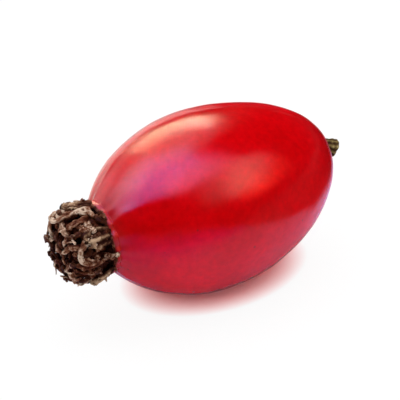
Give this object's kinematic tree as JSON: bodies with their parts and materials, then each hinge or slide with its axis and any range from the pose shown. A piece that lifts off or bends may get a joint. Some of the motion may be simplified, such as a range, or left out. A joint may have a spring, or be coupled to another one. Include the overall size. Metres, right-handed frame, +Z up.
{
  "type": "rose hip",
  "caption": "Glossy egg-shaped rose hip lying on its side, with a dried calyx crown of curled filaments at one end and a short bent stalk stub at the other.",
  "frame": {"origin": "bottom centre of the whole hip's box, on the flat patch that it rests on", "axes": "+X along the hip from the dried calyx crown to the stalk, +Z up, +Y across"},
  "size_m": [0.0286, 0.0156, 0.0152],
  "materials": {
    "skin": "gloss",
    "stalk": "matte",
    "calyx": "matte",
    "sepals": "matte",
    "stamens": "satin",
    "styles": "matte"
  },
  "bodies": {
    "root": {"hip_body": "skin", "stalk_stub": "stalk", "calyx_disc": "calyx", "style_tuft": "styles", "sepal_1": "sepals", "sepal_2": "sepals", "sepal_3": "sepals", "sepal_4": "sepals", "sepal_5": "sepals", "stamen_inner_01": "stamens", "stamen_inner_02": "stamens", "stamen_inner_03": "stamens", "stamen_inner_04": "stamens", "stamen_inner_05": "stamens", "stamen_inner_06": "stamens", "stamen_inner_07": "stamens", "stamen_inner_08": "stamens", "stamen_inner_09": "stamens", "stamen_middle_01": "stamens", "stamen_middle_02": "stamens", "stamen_middle_03": "stamens", "stamen_middle_04": "stamens", "stamen_middle_05": "stamens", "stamen_middle_06": "stamens", "stamen_middle_07": "stamens", "stamen_middle_08": "stamens", "stamen_middle_09": "stamens", "stamen_middle_10": "stamens", "stamen_middle_11": "stamens", "stamen_middle_12": "stamens", "stamen_middle_13": "stamens", "stamen_middle_14": "stamens", "stamen_outer_01": "stamens", "stamen_outer_02": "stamens", "stamen_outer_03": "stamens", "stamen_outer_04": "stamens", "stamen_outer_05": "stamens", "stamen_outer_06": "stamens", "stamen_outer_07": "stamens", "stamen_outer_08": "stamens", "stamen_outer_09": "stamens", "stamen_outer_10": "stamens", "stamen_outer_11": "stamens", "stamen_outer_12": "stamens", "stamen_outer_13": "stamens", "stamen_outer_14": "stamens", "stamen_outer_15": "stamens", "stamen_outer_16": "stamens", "stamen_outer_17": "stamens", "stamen_outer_18": "stamens", "stamen_outer_19": "stamens", "stamen_outer_20": "stamens"}
  },
  "joints": []
}
